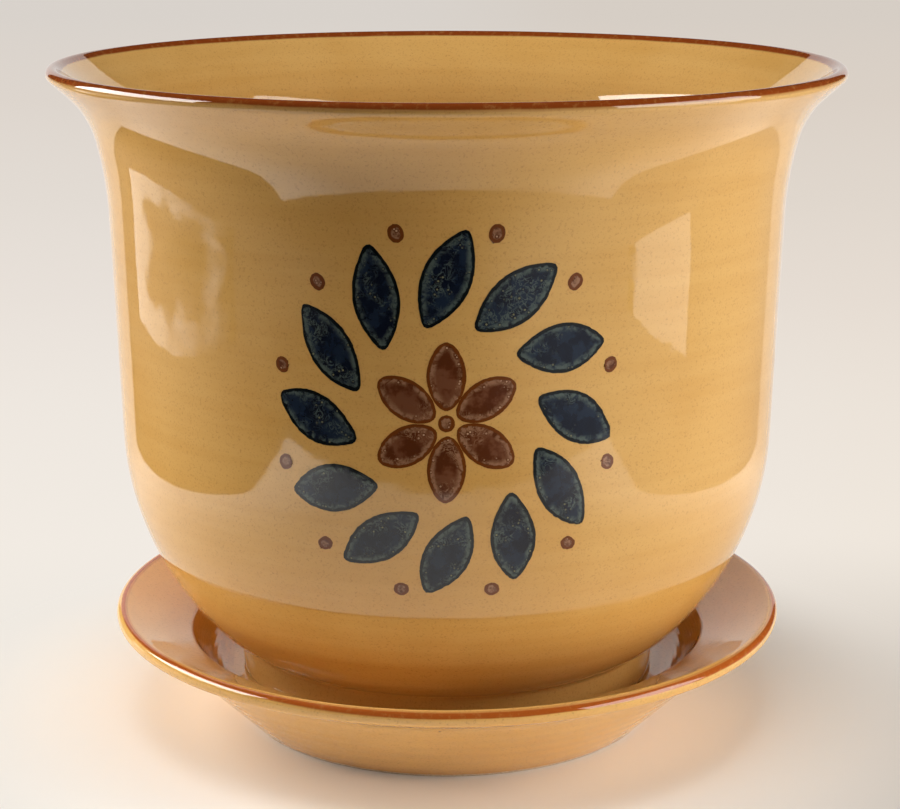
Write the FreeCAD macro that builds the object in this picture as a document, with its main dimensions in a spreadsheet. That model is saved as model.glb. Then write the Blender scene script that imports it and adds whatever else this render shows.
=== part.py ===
import FreeCAD, Part

import math
import os

import Sketcher
from FreeCAD import Vector

# A glazed stoneware flower pot that stands in its own saucer.
#
# Both pieces are thrown, so each is one closed profile turned about the vertical axis.
# The frame's origin is on the surface that the saucer stands on, at the middle, with Z up.
# All lengths are in millimetres and all angles in degrees.

SIZES = {
    # The pot, whose levels are measured from the face that its foot ring stands on
    "pot_height": 243.0,
    "body_diameter": 256.9,
    "rim_overhang": 24.05,
    "lip_thickness": 5.3,
    "flare_lean": 47.3,
    "flare_radius": 34.0,
    "sweep_radius": 139.0,
    "sweep_angle": 12.4,
    "wall_lean": 1.7,
    "wall_thickness": 7.0,
    "belly_radius": 115.0,
    "belly_angle": 43.3,
    "corner_level": 22.1,
    "corner_radius": 37.0,
    "inner_corner_radius": 30.0,
    "base_thickness": 10.0,
    "foot_inset": 44.95,
    "foot_width": 9.5,
    "foot_depth": 9.0,
    "foot_rounding": 2.0,
    "foot_fillet": 3.0,
    "drain_diameter": 24.0,
    "drain_rounding": 2.0,
    "notch_count": 3,
    "notch_width": 16.0,
    "notch_height": 6.0,
    "notch_rounding": 4.0,
    # The saucer
    "foot_clearance": 2.7,
    "well_depth": 17.2,
    "well_slope": 60.0,
    "well_fillet": 14.0,
    "shoulder_rounding": 2.5,
    "ledge_width": 29.2,
    "ledge_slope": 24.0,
    "ledge_thickness": 6.2,
    "ledge_overhang": 17.0,
    "knee_radius": 25.0,
    "saucer_base_thickness": 8.0,
    "saucer_foot_inset": 3.2,
    "saucer_foot_width": 10.0,
    "saucer_foot_depth": 10.0,
    "saucer_foot_rounding": 2.0,
    "saucer_foot_fillet": 3.0,
    # How far a cut runs past what it cuts
    "overrun": 5.0,
}

# How a sketch numbers the ends of a curve, its own axes and its origin
FIRST, LAST, MIDDLE = range(1, 4)
X_AXIS, Y_AXIS = range(-1, -3, -1)
ORIGIN = (X_AXIS, FIRST)

doc = FreeCAD.newDocument("flower_pot_with_saucer")
sheet = doc.addObject("Spreadsheet::Sheet", "sizes")
for row, (alias, number) in enumerate(SIZES.items(), start=1):
    sheet.set(f"A{row}", alias)
    sheet.set(f"B{row}", str(number))
    sheet.setAlias(f"B{row}", alias)
doc.recompute()


def size(alias):
    """The value of one named size."""
    return float(sheet.get(alias))


# Directions in a profile, whose first coordinate is the distance from the axis

def heading(lean):
    """The way up along a wall that leans outward from the vertical by so many degrees."""
    return Vector(math.sin(math.radians(lean)), math.cos(math.radians(lean)), 0)


def facing(lean):
    """The way a leaning wall's outer side faces."""
    return Vector(math.cos(math.radians(lean)), -math.sin(math.radians(lean)), 0)


def rounded(before, corner, after, radius):
    """Where a rounding of a corner begins, has its centre and ends."""
    back = (before - corner).normalize()
    ahead = (after - corner).normalize()
    half_angle = back.getAngle(ahead) / 2
    reach = radius / math.tan(half_angle)
    centre = corner + (back + ahead).normalize() * (radius / math.sin(half_angle))
    return corner + back * reach, centre, corner + ahead * reach


class Outline:
    """A closed profile in a sketch, drawn round in one direction from a start point."""

    def __init__(self, sketch, start):
        self.sketch = sketch
        self.start = start
        self.here = start
        self.ends = []
        self.smooth = []
        self.constraints = []
        self.formulas = {}

    def _add(self, curve, first, last, point, smooth):
        number = self.sketch.addGeometry(curve, False)
        self.ends.append((number, first, last))
        self.smooth.append(smooth)
        self.here = point
        return number

    def line_to(self, point, smooth=True):
        """Draw a straight line, which leaves the last curve smoothly unless told otherwise."""
        return self._add(Part.LineSegment(self.here, point), FIRST, LAST, point, smooth)

    def arc_to(self, point, centre, clockwise=False, smooth=True):
        """Draw an arc about a centre, the short way for its direction."""
        start, end = (point, self.here) if clockwise else (self.here, point)
        begin = math.atan2(start.y - centre.y, start.x - centre.x)
        finish = math.atan2(end.y - centre.y, end.x - centre.x)
        circle = Part.Circle(centre, Vector(0, 0, 1), (start - centre).Length)
        order = (LAST, FIRST) if clockwise else (FIRST, LAST)
        return self._add(Part.ArcOfCircle(circle, begin, finish), *order, point, smooth)

    def join(self):
        """Join each curve to the one before it."""
        for place, (number, first, _) in enumerate(self.ends):
            before, _, last = self.ends[place - 1]
            kind = "Tangent" if self.smooth[place] else "Coincident"
            self.relate(kind, before, last, number, first)

    def relate(self, kind, *where):
        """Add a relation that has no size."""
        self.constraints.append(Sketcher.Constraint(kind, *where))

    def measure(self, name, kind, formula, *where):
        """Add a named dimension that a formula of the named sizes drives."""
        value = self.sketch.evalExpression(formula)
        number = value.Value if hasattr(value, "Value") else value
        if kind == "Angle":
            number = math.radians(number)
        constraint = Sketcher.Constraint(kind, *where, number)
        constraint.Name = name
        self.constraints.append(constraint)
        self.formulas[name] = formula

    def corner_point(self, point, line, other_line):
        """Mark the point where two lines would meet without the rounding between them."""
        number = self.sketch.addGeometry(Part.Point(point), True)
        self.relate("PointOnObject", number, FIRST, line)
        self.relate("PointOnObject", number, FIRST, other_line)
        return number

    def finish(self):
        """Put all the relations and dimensions on the sketch."""
        self.sketch.addConstraint(self.constraints)
        for name, formula in self.formulas.items():
            self.sketch.setExpression("Constraints." + name, formula)


def new_body(label):
    """A new body for one piece."""
    body = doc.addObject("PartDesign::Body", label)
    body.Label = label
    return body


def plane_of(body, role):
    """One of the planes or axes that a body's own origin holds."""
    return next(item for item in body.Origin.OriginFeatures if item.Role == role)


def sketch_on(body, role, name):
    """A new sketch on one of a body's own origin planes."""
    sketch = body.newObject("Sketcher::SketchObject", name)
    sketch.AttachmentSupport = [(plane_of(body, role), "")]
    sketch.MapMode = "FlatFace"
    doc.recompute()
    return sketch


def turned(body, sketch, name):
    """Turn a profile all the way round the vertical axis."""
    revolution = body.newObject("PartDesign::Revolution", name)
    revolution.Profile = sketch
    revolution.ReferenceAxis = (sketch, ["V_Axis"])
    revolution.Angle = 360.0
    doc.recompute()
    return revolution


# The pot's profile

def wall_rise(bead_point, line_point, flare_radius, sweep_radius):
    """The points of one face from the lip down the flare and the sweep to the wall.

    The straight stretch under the lip is as long as it takes for the sweep to run out
    on the wall's line.
    """
    flare_lean = size("flare_lean")
    wall_lean = size("wall_lean")
    sweep_lean = wall_lean + size("sweep_angle")
    bend = ((facing(flare_lean) - facing(sweep_lean)) * flare_radius
            + (facing(sweep_lean) - facing(wall_lean)) * sweep_radius)
    across = (bead_point + bend - line_point).dot(facing(wall_lean))
    straight = across / heading(flare_lean).dot(facing(wall_lean))
    flare_top = bead_point - heading(flare_lean) * straight
    flare_centre = flare_top + facing(flare_lean) * flare_radius
    sweep_top = flare_centre - facing(sweep_lean) * flare_radius
    sweep_centre = sweep_top + facing(sweep_lean) * sweep_radius
    wall_top = sweep_centre - facing(wall_lean) * sweep_radius
    return flare_top, flare_centre, sweep_top, sweep_centre, wall_top


def pot_profile(sketch):
    """The section through one side of the pot, from the foot up the outside and back."""
    wall_lean = size("wall_lean")
    belly_lean = wall_lean + size("belly_angle")
    belly_radius = size("belly_radius")
    corner_radius = size("corner_radius")
    wall = size("wall_thickness")
    bead_radius = size("lip_thickness") / 2
    body_radius = size("body_diameter") / 2
    foot_radius = body_radius - size("foot_inset")
    foot_inner = foot_radius - size("foot_width")
    edge = size("foot_rounding")
    fillet = size("foot_fillet")
    underside = size("foot_depth")
    floor = underside + size("base_thickness")
    drain = size("drain_diameter") / 2
    drain_edge = size("drain_rounding")

    # Outside, from the belly's lower end up
    belly_rise = belly_radius * (math.sin(math.radians(belly_lean)) - math.sin(math.radians(wall_lean)))
    belly_top = Vector(body_radius, size("corner_level") + belly_rise, 0)
    belly_centre = belly_top - facing(wall_lean) * belly_radius
    corner_top = belly_centre + facing(belly_lean) * belly_radius
    corner_centre = corner_top - facing(belly_lean) * corner_radius
    fillet_across = foot_radius + fillet - corner_centre.x
    fillet_drop = math.sqrt((corner_radius + fillet) ** 2 - fillet_across ** 2)
    fillet_centre = Vector(foot_radius + fillet, corner_centre.y - fillet_drop, 0)
    corner_foot = corner_centre + (fillet_centre - corner_centre).normalize() * corner_radius

    # The lip is a round bead
    rim_radius = body_radius + size("rim_overhang")
    bead = Vector(rim_radius - bead_radius, size("pot_height") - bead_radius, 0)
    outer_bead = bead + facing(size("flare_lean")) * bead_radius
    inner_bead = bead - facing(size("flare_lean")) * bead_radius

    # The same rise on both faces, with the wall between them
    inner_wall_point = belly_top - facing(wall_lean) * wall
    flare_radius = size("flare_radius")
    sweep_radius = size("sweep_radius")
    outer = wall_rise(outer_bead, belly_top, flare_radius, sweep_radius)
    inner = wall_rise(
        inner_bead, inner_wall_point, flare_radius + 2 * bead_radius, sweep_radius + wall
    )

    # Inside, where the corner runs out on the floor
    inner_corner = size("inner_corner_radius")
    inner_belly = belly_radius - wall
    inner_drop = belly_centre.y - floor - inner_corner
    inner_reach = math.sqrt((inner_belly - inner_corner) ** 2 - inner_drop ** 2)
    inner_corner_centre = Vector(belly_centre.x + inner_reach, floor + inner_corner, 0)
    inner_corner_top = belly_centre + (inner_corner_centre - belly_centre).normalize() * inner_belly

    outline = Outline(sketch, Vector(foot_inner + edge, 0, 0))
    foot_face = outline.line_to(Vector(foot_radius - edge, 0, 0))
    outer_edge = outline.arc_to(Vector(foot_radius, edge, 0), Vector(foot_radius - edge, edge, 0))
    foot_wall = outline.line_to(Vector(foot_radius, fillet_centre.y, 0))
    foot_curve = outline.arc_to(corner_foot, fillet_centre, clockwise=True)
    corner = outline.arc_to(corner_top, corner_centre)
    belly = outline.arc_to(belly_top, belly_centre)
    wall_line = outline.line_to(outer[4])
    sweep = outline.arc_to(outer[2], outer[3], clockwise=True)
    flare = outline.arc_to(outer[0], outer[1], clockwise=True)
    flare_line = outline.line_to(outer_bead)
    lip = outline.arc_to(inner_bead, bead)
    inner_flare_line = outline.line_to(inner[0])
    inner_flare = outline.arc_to(inner[2], inner[1])
    inner_sweep = outline.arc_to(inner[4], inner[3])
    inner_wall_line = outline.line_to(belly_centre + facing(wall_lean) * inner_belly)
    inner_belly_arc = outline.arc_to(inner_corner_top, belly_centre, clockwise=True)
    inner_corner_arc = outline.arc_to(
        Vector(inner_corner_centre.x, floor, 0), inner_corner_centre, clockwise=True
    )
    floor_line = outline.line_to(Vector(drain + drain_edge, floor, 0))
    upper_drain_edge = outline.arc_to(
        Vector(drain, floor - drain_edge, 0), Vector(drain + drain_edge, floor - drain_edge, 0)
    )
    drain_line = outline.line_to(Vector(drain, underside + drain_edge, 0))
    lower_drain_edge = outline.arc_to(
        Vector(drain + drain_edge, underside, 0), Vector(drain + drain_edge, underside + drain_edge, 0)
    )
    underside_line = outline.line_to(Vector(foot_inner - fillet, underside, 0))
    recess_curve = outline.arc_to(
        Vector(foot_inner, underside - fillet, 0),
        Vector(foot_inner - fillet, underside - fillet, 0),
        clockwise=True,
    )
    recess_wall = outline.line_to(Vector(foot_inner, edge, 0))
    inner_edge = outline.arc_to(outline.start, Vector(foot_inner + edge, edge, 0))
    outline.join()

    for line in (foot_face, floor_line, underside_line):
        outline.relate("Horizontal", line)
    for line in (foot_wall, drain_line, recess_wall):
        outline.relate("Vertical", line)
    outline.relate("PointOnObject", foot_face, FIRST, X_AXIS)
    outline.relate("Parallel", flare_line, inner_flare_line)
    outline.relate("Parallel", wall_line, inner_wall_line)
    outline.relate("Horizontal", belly, MIDDLE, inner_belly_arc, MIDDLE)

    outline.measure("outer_edge_radius", "Radius", "sizes.foot_rounding", outer_edge)
    outline.measure("inner_edge_radius", "Radius", "sizes.foot_rounding", inner_edge)
    outline.measure("foot_curve_radius", "Radius", "sizes.foot_fillet", foot_curve)
    outline.measure("recess_curve_radius", "Radius", "sizes.foot_fillet", recess_curve)
    outline.measure("corner_arc_radius", "Radius", "sizes.corner_radius", corner)
    outline.measure("belly_arc_radius", "Radius", "sizes.belly_radius", belly)
    outline.measure("sweep_arc_radius", "Radius", "sizes.sweep_radius", sweep)
    outline.measure("flare_arc_radius", "Radius", "sizes.flare_radius", flare)
    outline.measure("lip_radius", "Radius", "sizes.lip_thickness / 2", lip)
    outline.measure("inner_flare_radius", "Radius",
                    "sizes.flare_radius + sizes.lip_thickness", inner_flare)
    outline.measure("inner_sweep_radius", "Radius",
                    "sizes.sweep_radius + sizes.wall_thickness", inner_sweep)
    outline.measure("inner_belly_radius", "Radius",
                    "sizes.belly_radius - sizes.wall_thickness", inner_belly_arc)
    outline.measure("floor_corner_radius", "Radius", "sizes.inner_corner_radius", inner_corner_arc)
    outline.measure("upper_drain_radius", "Radius", "sizes.drain_rounding", upper_drain_edge)
    outline.measure("lower_drain_radius", "Radius", "sizes.drain_rounding", lower_drain_edge)
    outline.measure("wall_angle", "Angle", "90 deg - sizes.wall_lean * 1 deg", wall_line)
    outline.measure("flare_angle", "Angle", "90 deg - sizes.flare_lean * 1 deg", flare_line)
    outline.measure("belly_span", "Angle", "sizes.belly_angle * 1 deg", belly)
    outline.measure("sweep_span", "Angle", "sizes.sweep_angle * 1 deg", sweep)
    outline.measure("inner_sweep_span", "Angle", "sizes.sweep_angle * 1 deg", inner_sweep)
    outline.measure("wall_gap", "Distance", "sizes.wall_thickness",
                    wall_line, FIRST, inner_wall_line)
    outline.measure("body_reach", "DistanceX", "sizes.body_diameter / 2",
                    *ORIGIN, wall_line, FIRST)
    outline.measure("corner_height", "DistanceY", "sizes.corner_level", *ORIGIN, belly, FIRST)
    outline.measure("foot_reach", "DistanceX", "sizes.body_diameter / 2 - sizes.foot_inset",
                    *ORIGIN, foot_wall, FIRST)
    outline.measure("recess_reach", "DistanceX",
                    "sizes.body_diameter / 2 - sizes.foot_inset - sizes.foot_width",
                    *ORIGIN, recess_wall, FIRST)
    outline.measure("drain_reach", "DistanceX", "sizes.drain_diameter / 2",
                    *ORIGIN, drain_line, FIRST)
    outline.measure("underside_height", "DistanceY", "sizes.foot_depth",
                    *ORIGIN, underside_line, FIRST)
    outline.measure("floor_height", "DistanceY", "sizes.foot_depth + sizes.base_thickness",
                    *ORIGIN, floor_line, FIRST)
    outline.measure("lip_height", "DistanceY", "sizes.pot_height - sizes.lip_thickness / 2",
                    *ORIGIN, lip, MIDDLE)
    outline.measure("lip_reach", "DistanceX",
                    "sizes.body_diameter / 2 + sizes.rim_overhang - sizes.lip_thickness / 2",
                    *ORIGIN, lip, MIDDLE)
    outline.finish()


def notch_profile(sketch):
    """An arched notch through the foot ring, seen from the front."""
    half = size("notch_width") / 2
    top = size("notch_height")
    bottom = -size("overrun")
    edge = size("notch_rounding")
    outline = Outline(sketch, Vector(-half, bottom, 0))
    sill = outline.line_to(Vector(half, bottom, 0), smooth=False)
    right_side = outline.line_to(Vector(half, top - edge, 0), smooth=False)
    right_arch = outline.arc_to(Vector(half - edge, top, 0), Vector(half - edge, top - edge, 0))
    crown = outline.line_to(Vector(edge - half, top, 0))
    left_arch = outline.arc_to(Vector(-half, top - edge, 0), Vector(edge - half, top - edge, 0))
    left_side = outline.line_to(outline.start)
    outline.smooth[0] = False
    outline.join()
    outline.relate("Horizontal", crown)
    for line in (left_side, right_side):
        outline.relate("Vertical", line)
    outline.relate("Equal", left_arch, right_arch)
    outline.relate("Symmetric", sill, FIRST, sill, LAST, Y_AXIS)
    outline.measure("arch_radius", "Radius", "sizes.notch_rounding", right_arch)
    outline.measure("opening_width", "DistanceX", "sizes.notch_width", sill, FIRST, sill, LAST)
    outline.measure("crown_height", "DistanceY", "sizes.notch_height", *ORIGIN, crown, FIRST)
    outline.measure("sill_depth", "DistanceY", "sizes.overrun", sill, FIRST, *ORIGIN)
    outline.finish()


def build_pot():
    """The pot, with its drain hole and the notches that let water out from under it."""
    body = new_body("flower_pot")
    profile = sketch_on(body, "XZ_Plane", "pot_profile")
    pot_profile(profile)
    turned(body, profile, "thrown_pot")

    front = sketch_on(body, "XZ_Plane", "notch_profile")
    notch_profile(front)
    before = body.Shape.Volume
    notch = body.newObject("PartDesign::Pocket", "foot_notch")
    notch.Profile = front
    notch.Reversed = True
    notch.setExpression("Length", "sizes.body_diameter / 2 - sizes.foot_inset + sizes.overrun")
    doc.recompute()
    notches = body.newObject("PartDesign::PolarPattern", "foot_notches")
    notches.Originals = [notch]
    notches.Axis = (plane_of(body, "Z_Axis"), [""])
    notches.Angle = 360.0
    notches.setExpression("Occurrences", "sizes.notch_count")
    body.Tip = notches
    doc.recompute()
    if not body.Shape.Volume < before:
        raise RuntimeError("the foot notches cut nothing")
    body.setExpression("Placement.Base.z", "sizes.saucer_foot_depth + sizes.saucer_base_thickness")
    return body


# The saucer's profile

def saucer_profile(sketch):
    """The section through one side of the saucer, from its foot up the outside and back."""
    slope = size("ledge_slope")
    along_ledge = Vector(math.cos(math.radians(slope)), math.sin(math.radians(slope)), 0)
    off_ledge = Vector(-along_ledge.y, along_ledge.x, 0)
    well_slope = size("well_slope")
    up_well = heading(90 - well_slope)
    off_well = -facing(90 - well_slope)
    pot_foot = size("body_diameter") / 2 - size("foot_inset")
    flat_radius = pot_foot + size("foot_clearance")
    underside = size("saucer_foot_depth")
    floor = underside + size("saucer_base_thickness")
    well_fillet = size("well_fillet")
    shoulder_radius = size("shoulder_rounding")
    bead_radius = size("ledge_thickness") / 2
    foot_radius = flat_radius - size("saucer_foot_inset")
    foot_inner = foot_radius - size("saucer_foot_width")
    edge = size("saucer_foot_rounding")
    recess_fillet = size("saucer_foot_fillet")

    # Inside, from the floor up the well to the ledge
    fillet_centre = Vector(flat_radius, floor + well_fillet, 0)
    well_foot = fillet_centre - off_well * well_fillet
    shoulder_turn = (off_well - off_ledge) * shoulder_radius
    ledge_level = floor + size("well_depth")
    climb = (ledge_level - well_foot.y + shoulder_turn.y) / up_well.y
    well_top = well_foot + up_well * climb
    shoulder_centre = well_top - off_well * shoulder_radius
    ledge_start = shoulder_centre + off_ledge * shoulder_radius

    # The ledge ends in a round bead
    outer_radius = ledge_start.x + size("ledge_width")
    reach = (outer_radius - bead_radius - ledge_start.x + off_ledge.x * bead_radius) / along_ledge.x
    ledge_end = ledge_start + along_ledge * reach
    bead = ledge_end - off_ledge * bead_radius
    under_bead = bead - off_ledge * bead_radius

    # Outside, a straight wall from the foot to the knee under the ledge
    foot_corner = Vector(foot_radius, 0, 0)
    back_along = (under_bead.x - outer_radius + size("ledge_overhang")) / along_ledge.x
    knee_corner = under_bead - along_ledge * back_along
    foot_start, foot_centre, foot_end = rounded(Vector(foot_inner, 0, 0), foot_corner, knee_corner, edge)
    knee_start, knee_centre, knee_end = rounded(
        foot_corner, knee_corner, under_bead, size("knee_radius")
    )

    outline = Outline(sketch, Vector(foot_inner + edge, 0, 0))
    foot_face = outline.line_to(foot_start)
    outer_edge = outline.arc_to(foot_end, foot_centre)
    outer_wall = outline.line_to(knee_start)
    knee = outline.arc_to(knee_end, knee_centre, clockwise=True)
    ledge_under = outline.line_to(under_bead)
    lip = outline.arc_to(ledge_end, bead)
    ledge = outline.line_to(ledge_start)
    shoulder = outline.arc_to(well_top, shoulder_centre)
    well_wall = outline.line_to(well_foot)
    well_curve = outline.arc_to(Vector(flat_radius, floor, 0), fillet_centre, clockwise=True)
    floor_line = outline.line_to(Vector(0, floor, 0))
    axis_line = outline.line_to(Vector(0, underside, 0), smooth=False)
    underside_line = outline.line_to(Vector(foot_inner - recess_fillet, underside, 0), smooth=False)
    recess_curve = outline.arc_to(
        Vector(foot_inner, underside - recess_fillet, 0),
        Vector(foot_inner - recess_fillet, underside - recess_fillet, 0),
        clockwise=True,
    )
    recess_wall = outline.line_to(Vector(foot_inner, edge, 0))
    inner_edge = outline.arc_to(outline.start, Vector(foot_inner + edge, edge, 0))
    outline.join()
    foot_mark = outline.corner_point(foot_corner, foot_face, outer_wall)
    knee_mark = outline.corner_point(knee_corner, outer_wall, ledge_under)

    for line in (foot_face, floor_line, underside_line):
        outline.relate("Horizontal", line)
    outline.relate("Vertical", recess_wall)
    outline.relate("PointOnObject", foot_face, FIRST, X_AXIS)
    outline.relate("PointOnObject", axis_line, FIRST, Y_AXIS)
    outline.relate("PointOnObject", axis_line, LAST, Y_AXIS)
    outline.relate("Parallel", ledge, ledge_under)

    outline.measure("outer_edge_radius", "Radius", "sizes.saucer_foot_rounding", outer_edge)
    outline.measure("inner_edge_radius", "Radius", "sizes.saucer_foot_rounding", inner_edge)
    outline.measure("recess_curve_radius", "Radius", "sizes.saucer_foot_fillet", recess_curve)
    outline.measure("knee_arc_radius", "Radius", "sizes.knee_radius", knee)
    outline.measure("lip_radius", "Radius", "sizes.ledge_thickness / 2", lip)
    outline.measure("shoulder_radius", "Radius", "sizes.shoulder_rounding", shoulder)
    outline.measure("well_curve_radius", "Radius", "sizes.well_fillet", well_curve)
    outline.measure("ledge_angle", "Angle", "sizes.ledge_slope * 1 deg", ledge_under)
    outline.measure("well_span", "Angle", "sizes.well_slope * 1 deg", well_curve)
    outline.measure("underside_height", "DistanceY", "sizes.saucer_foot_depth",
                    *ORIGIN, underside_line, FIRST)
    outline.measure("floor_height", "DistanceY",
                    "sizes.saucer_foot_depth + sizes.saucer_base_thickness",
                    *ORIGIN, floor_line, FIRST)
    outline.measure("ledge_height", "DistanceY",
                    "sizes.saucer_foot_depth + sizes.saucer_base_thickness + sizes.well_depth",
                    *ORIGIN, ledge, LAST)
    outline.measure("flat_reach", "DistanceX",
                    "sizes.body_diameter / 2 - sizes.foot_inset + sizes.foot_clearance",
                    *ORIGIN, floor_line, FIRST)
    outline.measure("ledge_reach", "DistanceX", "sizes.ledge_width - sizes.ledge_thickness / 2",
                    ledge, LAST, lip, MIDDLE)
    outline.measure("overhang_reach", "DistanceX",
                    "sizes.ledge_overhang - sizes.ledge_thickness / 2",
                    knee_mark, FIRST, lip, MIDDLE)
    outline.measure("foot_reach", "DistanceX",
                    "sizes.body_diameter / 2 - sizes.foot_inset + sizes.foot_clearance"
                    " - sizes.saucer_foot_inset",
                    *ORIGIN, foot_mark, FIRST)
    outline.measure("recess_reach", "DistanceX",
                    "sizes.body_diameter / 2 - sizes.foot_inset + sizes.foot_clearance"
                    " - sizes.saucer_foot_inset - sizes.saucer_foot_width",
                    *ORIGIN, recess_wall, FIRST)
    outline.finish()


def build_saucer():
    """The saucer, which stands on the ground and carries the pot on the floor of its well."""
    body = new_body("saucer")
    profile = sketch_on(body, "XZ_Plane", "saucer_profile")
    saucer_profile(profile)
    turned(body, profile, "thrown_saucer")
    return body


def check(bodies):
    """Stop if an object of the document failed, or a piece has no sound solid."""
    for item in doc.Objects:
        if "Invalid" in item.State or "Error" in item.State:
            raise RuntimeError(f"{item.Name} failed: {item.State}")
        if item.TypeId == "Sketcher::SketchObject" and not item.FullyConstrained:
            raise RuntimeError(f"{item.Name} isn't fully constrained")
    for body in bodies:
        if body.Shape.isNull() or not body.Shape.isValid() or len(body.Shape.Solids) != 1:
            raise RuntimeError(f"{body.Label} isn't one sound solid")


pieces = [build_saucer(), build_pot()]
doc.recompute()
check(pieces)

os.makedirs("parts", exist_ok=True)
for piece in pieces:
    piece.Shape.exportStep(os.path.join("parts", piece.Label + ".step"))
    box = piece.Shape.optimalBoundingBox(False)
    print(f"{piece.Label}: {box.XLength:.1f} across, z {box.ZMin:.1f} to {box.ZMax:.1f},"
          f" volume {piece.Shape.Volume / 1000:.0f} cm3")
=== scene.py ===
"""A glazed stoneware flower pot that stands in its saucer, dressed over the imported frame."""

import logging
import math
from collections import Counter
from contextlib import contextmanager
from dataclasses import dataclass
from enum import Enum
from functools import reduce
from typing import Iterator, Sequence

import bpy
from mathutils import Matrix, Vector, kdtree


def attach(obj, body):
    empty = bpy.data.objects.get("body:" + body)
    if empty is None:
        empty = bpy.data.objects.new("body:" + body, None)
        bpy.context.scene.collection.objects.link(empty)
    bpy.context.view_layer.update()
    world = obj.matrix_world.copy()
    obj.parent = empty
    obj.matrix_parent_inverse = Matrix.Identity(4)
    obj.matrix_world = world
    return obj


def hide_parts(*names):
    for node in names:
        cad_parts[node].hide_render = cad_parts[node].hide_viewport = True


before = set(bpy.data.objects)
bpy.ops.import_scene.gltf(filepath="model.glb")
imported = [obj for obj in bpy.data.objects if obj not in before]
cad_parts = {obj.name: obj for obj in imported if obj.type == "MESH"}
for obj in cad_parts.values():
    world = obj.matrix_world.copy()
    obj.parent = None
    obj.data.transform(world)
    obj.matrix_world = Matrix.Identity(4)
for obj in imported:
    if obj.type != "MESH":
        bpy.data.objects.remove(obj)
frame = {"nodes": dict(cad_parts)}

LOG = logging.getLogger("flower_pot")
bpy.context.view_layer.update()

MM = 0.001
WELD = 0.002 * MM
FULL_TURN = 2 * math.pi
Colour = tuple[float, float, float]
Place = tuple[float, float, float]
Span = tuple[float, float]
Piece = bpy.types.Object
Material = bpy.types.Material
Socket = bpy.types.NodeSocket
WHITE: Colour = (1.0, 1.0, 1.0)


# --- Thrown profiles ---


@dataclass(frozen=True)
class Bow:
    """One arc of a thrown profile, in millimetres and degrees.

    Angles count from the outward direction, with up positive. A straight run joins
    each bow to the next, and the thrower's rings lie on the bow and on that run. The
    place out from the axis and up from the ground is the centre's.
    """

    out: float
    up: float
    radius: float
    begin: float
    end: float
    ring_depth: float = 0.0
    ring_pitch: float = 2.0

    def point(self, angle: float, lift: float = 0.0) -> Vector:
        """Find a point on the arc, or beside it.

        Args:
            angle: Its angle.
            lift: How far it is moved off the arc's outer side.

        Returns:
            Its distance from the axis and its height.
        """
        reach = self.radius + lift * (1 if self.end > self.begin else -1)
        across = Vector((math.cos(math.radians(angle)), math.sin(math.radians(angle))))
        return Vector((self.out, self.up)) + across * reach


@dataclass(frozen=True)
class Profile:
    """A closed section on one side of the axis, run round with the clay on the left.

    Args:
        bows: The arcs in order, joined by straight runs.
        longest: The longest step between two stations, in millimetres.
        closed: True if the last bow runs on to the first, and False where the section
            ends on the axis.
        widest: The widest step round a bow, in degrees.
        shortest: The shortest straight run that gets stations, in millimetres.
        ring_steps: How many steps one of the thrower's rings takes.
    """

    bows: tuple[Bow, ...]
    longest: float
    closed: bool = True
    widest: float = 9.0
    shortest: float = 0.01
    ring_steps: int = 5

    def stations(self) -> list[Vector]:
        """The stations of the whole section.

        Returns:
            Points of distance from the axis and height, in millimetres.
        """
        points: list[Vector] = []
        for bow, following in zip(self.bows, self.bows[1:]):
            points += self._along_bow(bow) + self._along_run(bow, following)
        points += self._along_bow(self.bows[-1])
        if self.closed:
            points += self._along_run(self.bows[-1], self.bows[0])
            points.append(points[0].copy())
        return points

    def _steps(self, length: float, bow: Bow) -> int:
        """How many steps a stretch of some length takes."""
        step = min(self.longest, bow.ring_pitch / self.ring_steps) if bow.ring_depth else self.longest
        return max(1, math.ceil(length / step))

    def _ring(self, place: float, length: float, bow: Bow) -> float:
        """How deep the thrower's rings are at a place along a stretch.

        Args:
            place: The place, from the stretch's beginning.
            length: How long the stretch is.
            bow: The bow whose rings it has.

        Returns:
            The depth, in millimetres.
        """
        if not bow.ring_depth:
            return 0.0
        fade = math.sin(math.pi * place / length) ** 0.5 if 0 < place < length else 0.0
        wave = 0.5 - 0.5 * math.cos(FULL_TURN * place / bow.ring_pitch)
        return bow.ring_depth * fade * wave

    def _along_bow(self, bow: Bow) -> list[Vector]:
        """Walk along one bow.

        Args:
            bow: The bow.

        Returns:
            Its stations, both ends among them.
        """
        turn = abs(bow.end - bow.begin)
        length = math.radians(turn) * bow.radius
        steps = max(self._steps(length, bow), math.ceil(turn / self.widest))
        found = []
        for step in range(steps + 1):
            share = step / steps
            angle = bow.begin + (bow.end - bow.begin) * share
            found.append(bow.point(angle, -self._ring(share * length, length, bow)))
        return found

    def _along_run(self, bow: Bow, following: Bow) -> list[Vector]:
        """Walk along the straight run between two bows.

        Args:
            bow: The bow before the run.
            following: The bow after it.

        Returns:
            Its stations, without the ends.
        """
        start, finish = bow.point(bow.end), following.point(following.begin)
        run = finish - start
        if run.length < self.shortest:
            return []
        steps = self._steps(run.length, bow)
        inward = Vector((-run.y, run.x)).normalized()
        found = []
        for step in range(1, steps):
            place = run.length * step / steps
            depth = self._ring(place, run.length, bow)
            found.append(start + run * (step / steps) + inward * depth)
        return found


# --- The bench: operators as by hand ---


def clear_bench() -> None:
    """Deselect everything before the next piece is begun."""
    if bpy.context.object and bpy.context.object.mode != "OBJECT":
        bpy.ops.object.mode_set(mode="OBJECT")
    bpy.ops.object.select_all(action="DESELECT")


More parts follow.
